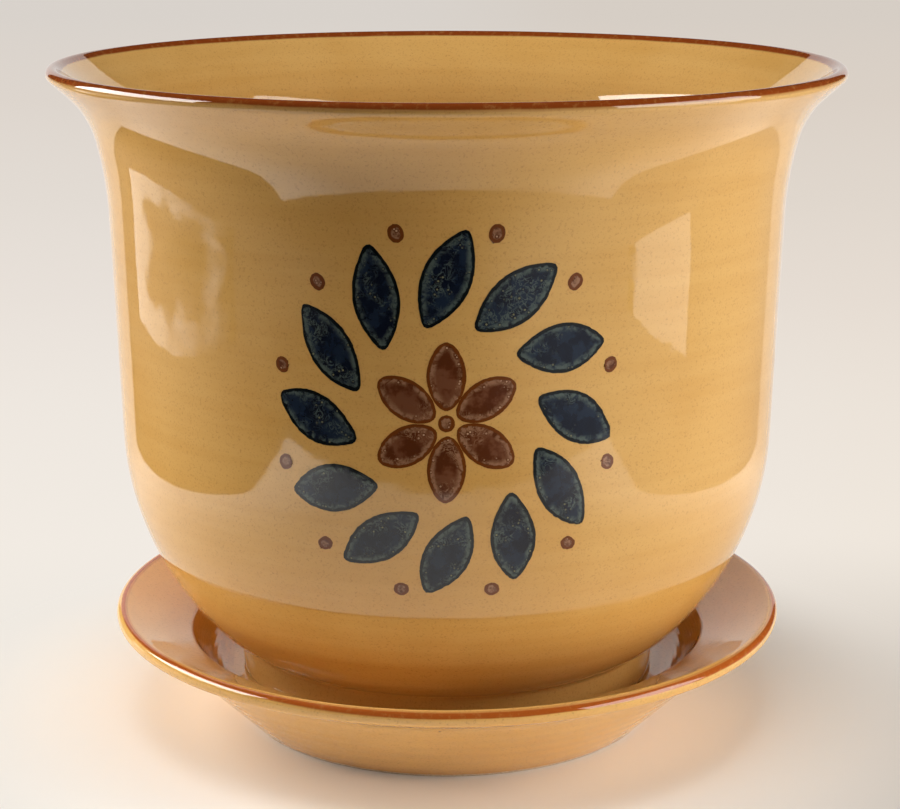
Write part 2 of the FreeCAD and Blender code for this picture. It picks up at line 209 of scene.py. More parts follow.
def take(piece: Piece) -> Piece:
    """Select one piece alone and make it the active one.

    Args:
        piece: The piece.

    Returns:
        The same piece.
    """
    clear_bench()
    piece.select_set(True)
    bpy.context.view_layer.objects.active = piece
    return piece


def settle(piece: Piece) -> Piece:
    """Put a piece's place into its mesh, so that it sits at the origin.

    Args:
        piece: The piece.

    Returns:
        The same piece.
    """
    take(piece)
    bpy.ops.object.transform_apply(location=True, rotation=True, scale=True)
    return piece


@contextmanager
def shaping(select: str | None = "SELECT") -> Iterator[None]:
    """Hold the active piece in edit mode.

    Args:
        select: SELECT or DESELECT for all of its mesh, or None to leave what is selected.
    """
    bpy.ops.object.mode_set(mode="EDIT")
    if select:
        bpy.ops.mesh.select_all(action=select)
    yield
    bpy.ops.object.mode_set(mode="OBJECT")


def modify(piece: Piece, name: str, kind: str, **settings: object) -> None:
    """Put a modifier on a piece.

    Args:
        piece: The piece.
        name: The modifier's name.
        kind: Blender's name for the kind of modifier.
        settings: The modifier's own properties.
    """
    modifier = piece.modifiers.new(name, kind)
    for key, value in settings.items():
        setattr(modifier, key, value)


def apply_all(piece: Piece) -> None:
    """Apply every modifier of a piece, in order.

    Args:
        piece: The piece.
    """
    take(piece)
    for modifier in list(piece.modifiers):
        bpy.ops.object.modifier_apply(modifier=modifier.name)


def throw(name: str, profile: Profile, facets: int) -> Piece:
    """Draw a profile point by point and turn it about the axis.

    Args:
        name: The new piece's name.
        profile: The section to turn.
        facets: How many steps one turn takes.

    Returns:
        The thrown piece, whose place is in its mesh.
    """
    points = [Vector((p.x, 0.0, p.y)) * MM for p in profile.stations()]
    clear_bench()
    bpy.ops.mesh.primitive_plane_add(size=MM, location=points[0])
    piece = bpy.context.object
    piece.name = piece.data.name = name
    with shaping():
        bpy.ops.mesh.merge(type="CENTER")
        for here, there in zip(points, points[1:]):
            bpy.ops.mesh.extrude_vertices_move(TRANSFORM_OT_translate={"value": there - here})
        bpy.ops.mesh.select_all(action="SELECT")
        bpy.ops.mesh.remove_doubles(threshold=WELD)
    settle(piece)
    modify(piece, "wheel", "SCREW", axis="Z", angle=FULL_TURN, steps=facets, render_steps=facets,
           use_merge_vertices=True, merge_threshold=WELD)
    apply_all(piece)
    with shaping():
        bpy.ops.mesh.remove_doubles(threshold=WELD)
        bpy.ops.mesh.normals_make_consistent(inside=False)
    return piece


def loosen(piece: Piece, depth: float, spread: float) -> None:
    """Give a thrown piece the slight unevenness that a hand leaves.

    Args:
        piece: The piece to change.
        depth: The deepest hollow, in millimetres.
        spread: The size of one hollow, in millimetres.
    """
    clouds = bpy.data.textures.new(piece.name + "_hand", "CLOUDS")
    clouds.noise_scale = spread * MM
    clouds.noise_depth = 1
    modify(piece, "hand", "DISPLACE", texture=clouds, texture_coords="LOCAL", mid_level=1.0,
           strength=depth * MM)
    apply_all(piece)


def smooth(piece: Piece, sharpest: float = 50.0) -> None:
    """Shade a piece smoothly, apart from edges sharper than some degrees."""
    take(piece)
    bpy.ops.object.shade_smooth_by_angle(angle=math.radians(sharpest))


def join(pieces: Sequence[Piece]) -> Piece:
    """Join pieces into the first of them.

    Args:
        pieces: The pieces.

    Returns:
        The joined piece.
    """
    take(pieces[0])
    for other in pieces[1:]:
        other.select_set(True)
    bpy.ops.object.join()
    return bpy.context.object


def hand_over(piece: Piece, material: Material, body: str) -> None:
    """Give a piece its material and the body that it rides on, and report it.

    Args:
        piece: The piece.
        material: Its finish.
        body: The CAD body that it moves with.
    """
    piece.data.materials.clear()
    piece.data.materials.append(material)
    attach(piece, body)
    LOG.info("%s: %d faces, rides on %s", piece.name, len(piece.data.polygons), body)


# --- Finishes ---


# A mixing node has its two colours, and the mixed one, after the plain numbers and vectors.
COLOUR_INPUTS = slice(6, 8)
COLOUR_OUTPUT = 2


class Recipe:
    """A node material that is mixed step by step from Object coordinates."""

    def __init__(self, name: str) -> None:
        """Start an empty material.

        Args:
            name: The material's name.
        """
        self.material = bpy.data.materials.new(name)
        self.material.use_nodes = True
        self.tree = self.material.node_tree
        self.tree.nodes.clear()
        self.place = self.node("ShaderNodeTexCoord").outputs["Object"]

    def node(self, kind: str, *values: object, named: dict[str, object] | None = None,
             **settings: object) -> bpy.types.Node:
        """Add a node.

        Args:
            kind: Blender's name for the kind of node.
            values: What goes into its inputs, in order.
            named: What goes into its inputs, by name.
            settings: The node's own properties.

        Returns:
            The node.
        """
        made = self.tree.nodes.new(kind)
        for key, value in settings.items():
            setattr(made, key, value)
        for socket, value in zip(made.inputs, values):
            self.feed(socket, value)
        for key, value in (named or {}).items():
            self.feed(made.inputs[key], value)
        return made

    def feed(self, socket: Socket, value: object) -> None:
        """Link a socket to another one, or set its value.

        Args:
            socket: The socket to feed.
            value: A socket, a number, or a colour or place of three numbers.
        """
        if isinstance(value, Socket):
            self.tree.links.new(value, socket)
        elif isinstance(value, tuple) and socket.type == "RGBA":
            socket.default_value = (*value, 1.0)
        else:
            socket.default_value = value

    def sum(self, operation: str, *values: object) -> Socket:
        """One number, worked out by a Math node from sockets and numbers."""
        return self.node("ShaderNodeMath", *values, operation=operation).outputs[0]

    def plus(self, first: object, second: object) -> Socket:
        """Two values added."""
        return self.sum("ADD", first, second)

    def minus(self, first: object, second: object) -> Socket:
        """The second value taken from the first."""
        return self.sum("SUBTRACT", first, second)

    def times(self, *values: object) -> Socket:
        """The product of all the values."""
        return reduce(lambda first, second: self.sum("MULTIPLY", first, second), values)

    def axis(self, name: str) -> Socket:
        """One of the Object coordinates X, Y and Z, in metres."""
        return self.node("ShaderNodeSeparateXYZ", self.place).outputs[name]

    def reach(self, centre: Span = (0.0, 0.0)) -> Socket:
        """The distance in metres from an upright line, whose place is in millimetres."""
        across, away = (self.minus(self.axis(name), at * MM) for name, at in zip("XY", centre))
        return self.sum("SQRT", self.plus(self.times(across, across), self.times(away, away)))

    def noise(self, scale: float, detail: float = 2.0, rough: float = 0.5,
              twist: float = 0.0, where: Socket | None = None) -> Socket:
        """Make clouds.

        Args:
            scale: How many clouds there are to a metre.
            detail: How many finer layers they have.
            rough: How strong the finer layers are.
            twist: How much they are twisted.
            where: The place to read, if it isn't the Object coordinates.

        Returns:
            A number that lies mostly between 0.3 and 0.7.
        """
        amounts = {"Scale": scale, "Detail": detail, "Roughness": rough, "Distortion": twist}
        return self.node("ShaderNodeTexNoise", where or self.place, named=amounts).outputs["Fac"]

    def cells(self, scale: float) -> Socket:
        """How far each point is from its cell's middle, for about scale cells to a metre."""
        return self.node("ShaderNodeTexVoronoi", self.place, named={"Scale": scale}).outputs["Distance"]

    def step(self, value: Socket, begin: float, end: float) -> Socket:
        """Step smoothly from 0 to 1.

        Args:
            value: The value that the step follows.
            begin: Where the step is 0.
            end: Where it is 1, above or below that.

        Returns:
            The step.
        """
        ends = (0.0, 1.0) if begin < end else (1.0, 0.0)
        made = self.node("ShaderNodeMapRange", value, min(begin, end), max(begin, end), *ends,
                         interpolation_type="SMOOTHSTEP")
        return made.outputs["Result"]

    def between(self, value: Socket, low: float, high: float, soft: float) -> Socket:
        """1 between two edges and 0 outside them, with all three lengths in millimetres."""
        rise = self.step(value, (low - soft) * MM, (low + soft) * MM)
        return self.times(rise, self.step(value, (high + soft) * MM, (high - soft) * MM))

    def mix(self, share: object, first: object, second: object, blend: str = "MIX") -> Socket:
        """Mix two colours.

        Args:
            share: How much of the second one there is.
            first: The first colour.
            second: The second colour.
            blend: How they are mixed.

        Returns:
            The mixed colour.
        """
        made = self.node("ShaderNodeMix", share, data_type="RGBA", blend_type=blend)
        for socket, value in zip(made.inputs[COLOUR_INPUTS], (first, second)):
            self.feed(socket, value)
        return made.outputs[COLOUR_OUTPUT]

    def bump(self, height: Socket, depth: float, onto: Socket | None = None) -> Socket:
        """Raise the surface a little.

        Args:
            height: The height, where 0 to 1 stands for the whole depth.
            depth: The depth, in millimetres.
            onto: The bump that this one lies on.

        Returns:
            The bumped normal.
        """
        made = self.node("ShaderNodeBump", named={"Strength": 1.0, "Distance": depth * MM, "Height": height})
        if onto:
            self.feed(made.inputs["Normal"], onto)
        return made.outputs["Normal"]

    def waves(self) -> Socket:
        """The bumped normal of the slight waves that any fired glaze has."""
        return self.bump(self.noise(95.0), 0.035)

    def matt(self, colour: Colour) -> Socket:
        """A matt shader of one colour."""
        return self.node("ShaderNodeBsdfDiffuse", colour).outputs[0]

    def shine(self, colour: object, strength: object) -> Socket:
        """A shader that gives light, whose colour and strength may be sockets."""
        return self.node("ShaderNodeEmission", colour, strength).outputs[0]

    def both(self, first: Socket, second: Socket) -> Socket:
        """Two shaders added."""
        return self.node("ShaderNodeAddShader", first, second).outputs[0]

    def choose(self, share: Socket, first: Socket, second: Socket) -> Socket:
        """The first shader where a share is 0, and the second where it is 1."""
        return self.node("ShaderNodeMixShader", share, first, second).outputs[0]

    def close(self, surface: Socket) -> Material:
        """Close the material with the shader of its surface."""
        self.node("ShaderNodeOutputMaterial", surface)
        return self.material

    def finish(self, colour: Socket, rough: object, normal: Socket, ior: float) -> Material:
        """Close the material with one solid surface.

        Args:
            colour: The base colour.
            rough: The roughness, a number or a socket.
            normal: The bumped normal.
            ior: The surface's index of refraction.

        Returns:
            The finished material.
        """
        named = {"Base Color": colour, "Roughness": rough, "Normal": normal, "IOR": ior}
        return self.close(self.node("ShaderNodeBsdfPrincipled", named=named).outputs[0])


@dataclass(frozen=True)
class RustAndShadeLine:
    """A line where the glaze breaks rust-brown over an edge, or a rust-tinted band of painted shade, in
    millimetres.

    Args:
        low: The height of its lower edge.
        high: The height of its upper edge.
        inner: How far from the axis it begins.
        strength: How much of the glaze's own colour it covers.
        soft: How far its edges fade.
        outer: How far from the axis it ends.
        centre: Where its own axis stands, because a hand held the brush.
    """

    low: float
    high: float
    inner: float = 0.0
    strength: float = 1.0
    soft: float = 0.22
    outer: float = 900.0
    centre: Span = (0.0, 0.0)

    def draw(self, mix: Recipe, level: Socket) -> Socket:
        """Draw the line on a glaze.

        Args:
            mix: The glaze's recipe.
            level: The height above the ground, a little wavering.

        Returns:
            How much of the glaze's colour the line covers.
        """
        thin = mix.step(mix.noise(420.0, 3.0, 0.6), 0.24, 0.5)
        band = mix.between(level, self.low, self.high, self.soft)
        ring = mix.between(mix.reach(self.centre), self.inner, self.outer, self.soft)
        return mix.times(band, ring, mix.sum("MULTIPLY_ADD", thin, 0.2, 0.8), self.strength)


@dataclass(frozen=True)
class Specks:
    """Round iron specks of one size, in some of the cells of a random grid.

    Args:
        scale: How many cells there are to a metre.
        size: The speck's radius, as a share of its cell.
        keep: How rare they are, as the noise that a cell has to pass.
        strength: How much of the glaze's colour a speck covers.
    """

    scale: float
    size: float
    keep: float
    strength: float

    def draw(self, mix: Recipe) -> Socket:
        """Draw the specks on a glaze.

        Args:
            mix: The glaze's recipe.

        Returns:
            How much of the glaze's colour they cover.
        """
        kept = mix.step(mix.noise(self.scale * 0.37, 0.0), self.keep - 0.2, self.keep - 0.08)
        dot = mix.step(mix.cells(self.scale), self.size * 1.9, self.size * 0.7)
        return mix.times(dot, kept, self.strength)


@dataclass(frozen=True)
class Pit:
    """A small dark pinhole in the glaze, in millimetres.

    Args:
        place: Where it is.
        radius: Its radius.
    """

    place: Place
    radius: float

    def draw(self, mix: Recipe) -> Socket:
        """Draw the pinhole on a glaze.

        Args:
            mix: The glaze's recipe.

        Returns:
            1 in the pinhole and 0 round it, with a ragged edge.
        """
        middle = tuple(at * MM for at in self.place)
        away = mix.node("ShaderNodeVectorMath", mix.place, middle, operation="DISTANCE").outputs["Value"]
        ragged = mix.plus(away, mix.times(mix.noise(1400.0), self.radius * MM))
        return mix.step(ragged, self.radius * 1.6 * MM, self.radius * MM)


@dataclass(frozen=True)
class OchreGlaze:
    """The glossy ochre glaze, speckled by the iron in the clay under it.

    Args:
        light: Its colour where it lies thin.
        deep: Its colour where it pools.
        grain: The fine brown grain in it, and in the bare clay.
        speck: The colour of the specks and pinholes.
        rust: The colour of the lines over the edges, and of the painted shade at the saucer's foot.
        clay: The bare clay.
        cloud_share: How much of the pooling follows the clouds, and wiped_share the wiped bands.
        wiped: How many of those bands there are to a metre, along each axis.
        grain_share: How much of the glaze the grain covers, and sand_share of the clay.
        specks: The sizes of specks.
        pits: The pinholes.
        waver: How far a line's height wavers, and drift the bare clay's, in millimetres.
        bare_edge: How far above bare_below the glaze begins and is whole, in millimetres.
        gloss: The glaze's roughness, and how much more of it the clouds give.
        clay_rough: How much rougher the bare clay is.
        fine: How deep the finest waves are, and grit the clay's, in millimetres.
        ripple: How deep the ripple on the ledge is, in millimetres.
        ledge_height: The heights between which the ripple begins, in metres.
        ledge_reach: How far from the axis it ends, in metres.
        ior: The glaze's index of refraction.
    """

    light: Colour = (0.715, 0.422, 0.131)
    deep: Colour = (0.645, 0.356, 0.093)
    grain: Colour = (0.40, 0.185, 0.050)
    speck: Colour = (0.19, 0.070, 0.012)
    rust: Colour = (0.235, 0.046, 0.006)
    clay: Colour = (0.78, 0.65, 0.49)
    cloud_share: float = 0.65
    wiped_share: float = 0.35
    wiped: Place = (9.0, 9.0, 240.0)
    grain_share: float = 0.42
    sand_share: float = 0.45
    specks: tuple[Specks, ...] = (Specks(420.0, 0.11, 0.66, 0.13), Specks(170.0, 0.05, 0.78, 0.24))
    pits: tuple[Pit, ...] = ()
    waver: float = 0.5
    drift: float = 0.6
    bare_edge: Span = (0.45, 0.15)
    gloss: Span = (0.010, 0.04)
    clay_rough: float = 0.75
    fine: float = 0.003
    grit: float = 0.25
    ripple: float = 0.0
    ledge_height: Span = (0.032, 0.036)
    ledge_reach: Span = (0.120, 0.115)
    ior: float = 1.66

    def fire(self, name: str, lines: Sequence[RustAndShadeLine], bare_below: float) -> Material:
        """Mix the glaze for one piece.

        Args:
            name: The material's name.
            lines: The rust-brown lines on the piece, and any band of painted shade in the rust colour.
            bare_below: The height under which the clay is bare, in millimetres.

        Returns:
            The material.
        """
        mix = Recipe(name)
        colour = self._coat(mix)
        height = mix.axis("Z")
        level = mix.plus(height, mix.times(mix.minus(mix.noise(60.0), 0.5), self.waver * MM))
        # The saucer's last line here is no rust but painted shade at its foot.
        for line in lines:
            colour = mix.mix(line.draw(mix, level), colour, self.rust)

        drift = mix.plus(height, mix.times(mix.noise(55.0), self.drift * MM))
        bare = mix.step(drift, *((bare_below + edge) * MM for edge in self.bare_edge))
        sand = mix.step(mix.noise(900.0, 3.0, 0.7), 0.42, 0.62)
        clay = mix.mix(mix.times(sand, self.sand_share), self.clay, self.grain)
        least, more = self.gloss
        gloss = mix.plus(mix.times(mix.noise(30.0), more), least)
        rough = mix.plus(gloss, mix.times(bare, self.clay_rough))
        return mix.finish(mix.mix(bare, colour, clay), rough, self._skin(mix, height, bare), self.ior)

    def _coat(self, mix: Recipe) -> Socket:
        """Mix the glaze's own colour: clouds and wiped bands, grain, specks and pinholes.

        Args:
            mix: The glaze's recipe.

        Returns:
            The colour.
        """
        cloud = mix.step(mix.noise(14.0, 3.0), 0.35, 0.68)
        bands = mix.node("ShaderNodeMapping", mix.place, named={"Scale": self.wiped})
        wiped = mix.step(mix.noise(1.0, 3.0, where=bands.outputs[0]), 0.3, 0.72)
        pool = mix.plus(mix.times(cloud, self.cloud_share), mix.times(wiped, self.wiped_share))
        colour = mix.mix(pool, self.light, self.deep)
        grain = mix.step(mix.noise(1150.0, 2.0, 0.65), 0.53, 0.74)
        colour = mix.mix(mix.times(grain, self.grain_share), colour, self.grain)
        for fault in (*self.specks, *self.pits):
            colour = mix.mix(fault.draw(mix), colour, self.speck)
        return colour

    def _skin(self, mix: Recipe, height: Socket, bare: Socket) -> Socket:
        """Mix the glaze's surface: its slight waves, the clay's grit and the ledge's ripple.

        Args:
            mix: The glaze's recipe.
            height: The height above the ground.
            bare: 1 where the clay is bare.

        Returns:
            The bumped normal.
        """
        normal = mix.bump(mix.noise(700.0, 1.0), self.fine, mix.waves())
        normal = mix.bump(mix.times(bare, mix.noise(1300.0, 3.0)), self.grit, normal)
        if self.ripple:
            ledge = mix.times(mix.step(height, *self.ledge_height), mix.step(mix.reach(), *self.ledge_reach))
            normal = mix.bump(mix.times(ledge, mix.noise(620.0, 1.0)), self.ripple, normal)
        return normal


class Pigment(Enum):
    """The colours that the ornament is stamped in."""

    NAVY = "navy"
    RUST = "rust"


@dataclass(frozen=True)
class StampedSlip:
    """Coloured slip pressed on with a sponge stamp and glazed over.

    Its border dries dark, and the sponge leaves pores and thin places inside.

    Args:
        border: The dark border's colour.
        deep: The colour where the slip lies thick, and round each pore.
        middle: The colour of most of the print.
        thin: The colour of the thin places.
        drop: The colour in the pores.
        worm_share: How clear the crooked thin places are.
        band_share: How clear the thin band inside the border is.
        ring_share: How clear the ring round a pore is, and drop_share the pore itself.
        gloss: The roughness of the glaze over it, and ior its index of refraction.
    """

    border: Colour
    deep: Colour
    middle: Colour
    thin: Colour
    drop: Colour
    worm_share: float = 0.75
    band_share: float = 0.85
    ring_share: float = 0.8
    drop_share: float = 0.9
    gloss: float = 0.05
    ior: float = 1.58

    def fire(self, name: str) -> Material:
        """Mix the slip.

        Args:
            name: The material's name.

        Returns:
            The material.
        """
        mix = Recipe(name)
        inset = mix.node("ShaderNodeAttribute", attribute_name="inset").outputs["Fac"]
        shake = mix.minus(mix.noise(520.0, 3.0, 0.6), 0.5)
        ragged = mix.plus(inset, mix.times(shake, 1.6))

        colour = mix.mix(mix.step(mix.noise(150.0, 3.0, 0.6), 0.42, 0.6), self.deep, self.middle)
        worm = mix.sum("ABSOLUTE", mix.minus(mix.noise(330.0, 3.0, 0.6, 1.2), 0.5))
        open_part = mix.step(mix.noise(95.0, 3.0), 0.46, 0.60)
        worms = mix.times(mix.step(worm, 0.045, 0.012), open_part, self.worm_share)
        colour = mix.mix(worms, colour, self.thin)

        band = mix.times(mix.step(ragged, 0.9, 1.5), mix.step(ragged, 3.6, 1.7))
        patchy = mix.step(mix.noise(300.0, 3.0, 0.65, 0.8), 0.36, 0.60)
        colour = mix.mix(mix.times(band, patchy, self.band_share), colour, self.thin)

        away = mix.cells(540.0)
        foam = mix.sum("MAXIMUM", mix.times(band, 0.9), open_part)
        chosen = mix.times(foam, mix.step(mix.noise(210.0, 1.0), 0.46, 0.54))
        ring = mix.times(mix.step(away, 0.16, 0.26), mix.step(away, 0.46, 0.34))
        colour = mix.mix(mix.times(ring, chosen, self.ring_share), colour, self.deep)
        drop = mix.times(mix.step(away, 0.24, 0.13), chosen, self.drop_share)
        colour = mix.mix(drop, colour, self.drop)

        colour = mix.mix(mix.step(ragged, 1.45, 0.95), colour, self.border)
        return mix.finish(colour, self.gloss, mix.waves(), self.ior)


SLIPS: dict[Pigment, StampedSlip] = {
    Pigment.NAVY: StampedSlip(
        border=(0.0035, 0.0060, 0.0065), deep=(0.0040, 0.0065, 0.0170),
        middle=(0.0110, 0.0200, 0.0400), thin=(0.095, 0.125, 0.110), drop=(0.230, 0.220, 0.110)),
    Pigment.RUST: StampedSlip(
        border=(0.155, 0.040, 0.006), deep=(0.095, 0.024, 0.006),
        middle=(0.170, 0.062, 0.028), thin=(0.360, 0.190, 0.105), drop=(0.620, 0.400, 0.240)),
}


# --- The flower pot ---


@dataclass
class FlowerPot:
    """The thrown pot: wall, rolled lip, drain hole and notched foot ring.

    Heights are above the ground, with the pot standing in its saucer.
    """

    foot_level: float = 18.0
    foot_radius: float = 83.5
    ring_inner_radius: float = 74.0
    facets: int = 270
    notch_count: int = 3
    notch_width: float = 16.0
    notch_height: float = 6.0
    notch_rounding: float = 4.0
    notch_overrun: float = 7.0
    unevenness: float = 0.16
    hollow: float = 70.0
    bare_below: float = 18.8
    glaze: OchreGlaze = OchreGlaze()
    lines: tuple[RustAndShadeLine, ...] = (
        RustAndShadeLine(258.95, 264.0, soft=0.35),
        RustAndShadeLine(258.2, 259.2, inner=149.0, strength=0.35, soft=0.35),
    )

    def profile(self) -> Profile:
        """Draw the pot's section, up the outside from its foot ring and back down inside.

        Returns:
            The section.
        """
        foot = self.foot_level
        return Profile(longest=3.2, bows=(
            Bow(81.5, foot + 2.0, 2.0, -90, 0),
            Bow(86.5, foot + 12.464, 3.0, 180, 116.5),
            Bow(68.655, foot + 48.263, 37.0, -63.5, -45),
            Bow(13.501, foot + 103.417, 115.0, -45, -1.7),
            Bow(269.937, foot + 181.742, 139.0, 178.3, 165.9),
            Bow(168.101, foot + 207.321, 34.0, 165.9, 132.7),
            Bow(149.85, foot + 240.35, 2.65, -47.3, 132.7),
            Bow(166.393, foot + 205.745, 39.3, 132.7, 165.9),
            Bow(269.878, foot + 179.752, 146.0, 165.9, 178.3, 0.05, 9.0),
            Bow(13.501, foot + 103.417, 108.0, -1.7, -44.24, 0.10, 9.0),
            Bow(69.382, foot + 49.0, 30.0, -44.24, -90, 0.12, 8.0),
            Bow(69.0, foot + 19.0, 0.0, -90, -90),
            Bow(14.0, foot + 17.0, 2.0, 90, 180),
            Bow(14.0, foot + 11.0, 2.0, 180, 270),
            Bow(71.0, foot + 6.0, 3.0, 90, 0),
            Bow(76.0, foot + 2.0, 2.0, 180, 270),
        ))

    def build(self) -> Piece:
        """Throw the pot and cut its notches.

        Returns:
            The pot's piece.
        """
        pot = throw("pot_body", self.profile(), self.facets)
        loosen(pot, self.unevenness, self.hollow)
        self._cut_notches(pot)
        smooth(pot)
        return pot

    def dress(self, pot: Piece) -> None:
        """Glaze the pot, and let it stand for the record's shape.

        Args:
            pot: The pot's piece.
        """
        glaze = self.glaze.fire("pot_ochre_glaze", self.lines, self.bare_below)
        hand_over(pot, glaze, "pot")
        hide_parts("flower_pot")

    def _cut_notches(self, pot: Piece) -> None:
        """Cut the arched notches through the foot ring.

        Args:
            pot: The pot's piece.
        """
        tool = join([self._notch_tool(number) for number in range(self.notch_count)])
        modify(pot, "notches", "BOOLEAN", operation="DIFFERENCE", solver="EXACT", object=tool)
        apply_all(pot)
        bpy.data.objects.remove(tool)

    def _notch_tool(self, number: int) -> Piece:
        """One arched block that cuts one notch.

        Args:
            number: Which of the notches it is for, from 0 at the front.

        Returns:
            The block, in its place.
        """
        depth = self.foot_radius - self.ring_inner_radius + 2 * self.notch_overrun
        middle = (self.foot_radius + self.ring_inner_radius) / 2
        clear_bench()
        bpy.ops.mesh.primitive_cube_add(size=1.0, location=(0, 0, 0))
        tool = bpy.context.object
        tool.scale = Vector((self.notch_width, depth, 2 * self.notch_height)) * MM
        settle(tool)
        with shaping("DESELECT"):
            bpy.ops.mesh.select_mode(type="EDGE")
        for edge in tool.data.edges:
            ends = [tool.data.vertices[v].co for v in edge.vertices]
            edge.select = all(end.z > 0 for end in ends) and abs(ends[0].x - ends[1].x) < WELD
        with shaping(None):
            bpy.ops.mesh.bevel(offset=self.notch_rounding * MM, segments=6)
        turn = FULL_TURN * number / self.notch_count
        tool.location = Vector((math.sin(turn), -math.cos(turn), 0)) * middle * MM
        tool.location.z = self.foot_level * MM
        tool.rotation_euler = (0, 0, turn)
        return settle(tool)


# --- The saucer ---


@dataclass
class Saucer:
    """The thrown saucer: foot, sloping ledge, rolled lip and the well for the pot."""

    floor_level: float = 18.0
    facets: int = 288
    unevenness: float = 0.12
    hollow: float = 60.0
    bare_below: float = 1.5
    # The saucer's glaze is mixed lighter than the pot's, partly as painted light on its dimly lit ledge and
    # well.
    glaze: OchreGlaze = OchreGlaze(
        light=(0.815, 0.492, 0.152), deep=(0.745, 0.417, 0.112), rust=(0.43, 0.098, 0.014), ripple=0.060,
        pits=(Pit((-21.0, -118.0, 33.0), 0.55), Pit((-24.5, -118.5, 33.5), 0.4),
              Pit((-2.5, -115.0, 32.0), 0.6), Pit((1.2, -115.0, 32.6), 0.5),
              Pit((-14.0, -119.0, 34.5), 0.35)))
    lines: tuple[RustAndShadeLine, ...] = (
        RustAndShadeLine(44.35, 60.0, inner=130.95, outer=132.55, centre=(0.65, -1.35)),
        RustAndShadeLine(45.6, 60.0, inner=130.1, outer=132.0, strength=0.5, soft=0.3, centre=(0.65, -1.35)),
        # The last line is no rust but painted shade, darkening the saucer's foot near the ground.
        RustAndShadeLine(-9.0, 3.2, strength=0.30, soft=2.4),
    )

    def profile(self) -> Profile:
        """Draw the saucer's section, from the axis under it round to the axis in its well.

        Returns:
            The section.
        """
        return Profile(longest=2.6, closed=False, bows=(
            Bow(0.0, 10.0, 0.0, -90, -90),
            Bow(70.0, 7.0, 3.0, 90, 0),
            Bow(75.0, 2.0, 2.0, 180, 270),
            Bow(82.174, 2.0, 2.0, -90, -45.1, 0.10, 7.0),
            Bow(131.345, 12.882, 25.0, 134.9, 114.0),
            Bow(130.865, 43.427, 3.1, -66.0, 114.0),
            Bow(105.781, 32.916, 2.5, 114.0, 150.0, 0.05, 1.6),
            Bow(86.2, 32.0, 14.0, -30.0, -90.0, 0.06, 2.4),
            Bow(86.0, self.floor_level, 0.0, -90, -90),
            Bow(0.0, self.floor_level, 0.0, -90, -90),
        ))

    def build(self) -> Piece:
        """Throw the saucer.

        Returns:
            The saucer's piece.
        """
        saucer = throw("saucer_body", self.profile(), self.facets)
        loosen(saucer, self.unevenness, self.hollow)
        smooth(saucer)
        return saucer

    def dress(self, saucer: Piece) -> None:
        """Glaze the saucer, and let it stand for the record's shape.

        Args:
            saucer: The saucer's piece.
        """
        glaze = self.glaze.fire("saucer_ochre_glaze", self.lines, self.bare_below)
        hand_over(saucer, glaze, "saucer")
        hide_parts("saucer")


# --- The stamped ornament ---


@dataclass(frozen=True)
class Stamp:
    """One sponge stamp, a pointed or round oval.

    Args:
        length: From tip to tip, in millimetres.
        width: Across the middle, in millimetres.
        fullness: How round it is, from 1 for two crossing arcs to 2 for an ellipse.
        rows: How many rows of faces its length takes.
        columns: How many faces its width takes.
        blunt: How wide it is beside its tips, as a share of its width.
        tip: How wide its tips are, as a share of its width.
        shake: How far a print's points stray, in millimetres.
    """

    length: float
    width: float
    fullness: float = 1.0
    rows: int = 40
    columns: int = 12
    blunt: float = 0.13
    tip: float = 0.07
    shake: float = 0.11

    def share(self, row: int) -> float:
        """How wide the oval is at one of its rows, as a share of its width.

        Args:
            row: The row's number, from 0 at one tip.

        Returns:
            The share.
        """
        if row in (0, self.rows):
            return self.tip
        along = 2 * row / self.rows - 1
        return self.blunt + (1 - self.blunt) * (1 - along * along) ** (1 / self.fullness)

    def cut(self, name: str) -> Piece:
        """Cut the stamp's flat face about the origin, with its tips along Y.

        Args:
            name: The stamp's name.

        Returns:
            The flat sheet that every print is a copy of.
        """
        clear_bench()
        bpy.ops.mesh.primitive_grid_add(
            x_subdivisions=self.columns, y_subdivisions=self.rows, size=MM)
        sheet = bpy.context.object
        sheet.name = sheet.data.name = name
        sheet.scale = (self.width, self.length, 1.0)
        settle(sheet)
        for row in range(self.rows + 1):
            level = (row / self.rows - 0.5) * self.length * MM
            # Edit mode lets go of every edge first, and the row's points are then picked outside it.
            with shaping("DESELECT"):
                pass
            for vertex in sheet.data.vertices:
                vertex.select = abs(vertex.co.y - level) < 0.01 * MM
            with shaping(None):
                bpy.ops.transform.resize(value=(self.share(row), 1, 1), center_override=(0, 0, 0))
        return sheet

    def press(self, sheet: Piece, name: str, seed: int) -> Piece:
        """Press one print, whose edge differs a little from every other print's.

        Args:
            sheet: The stamp's face.
            name: The print's name.
            seed: The print's own number.

        Returns:
            The print, with a mesh of its own.
        """
        take(sheet)
        bpy.ops.object.duplicate()
        made = bpy.context.object
        made.name = made.data.name = name
        with shaping():
            bpy.ops.transform.vertex_random(offset=self.shake * MM, seed=seed)
            bpy.ops.transform.resize(value=(1, 1, 0), center_override=(0, 0, 0))
        return made


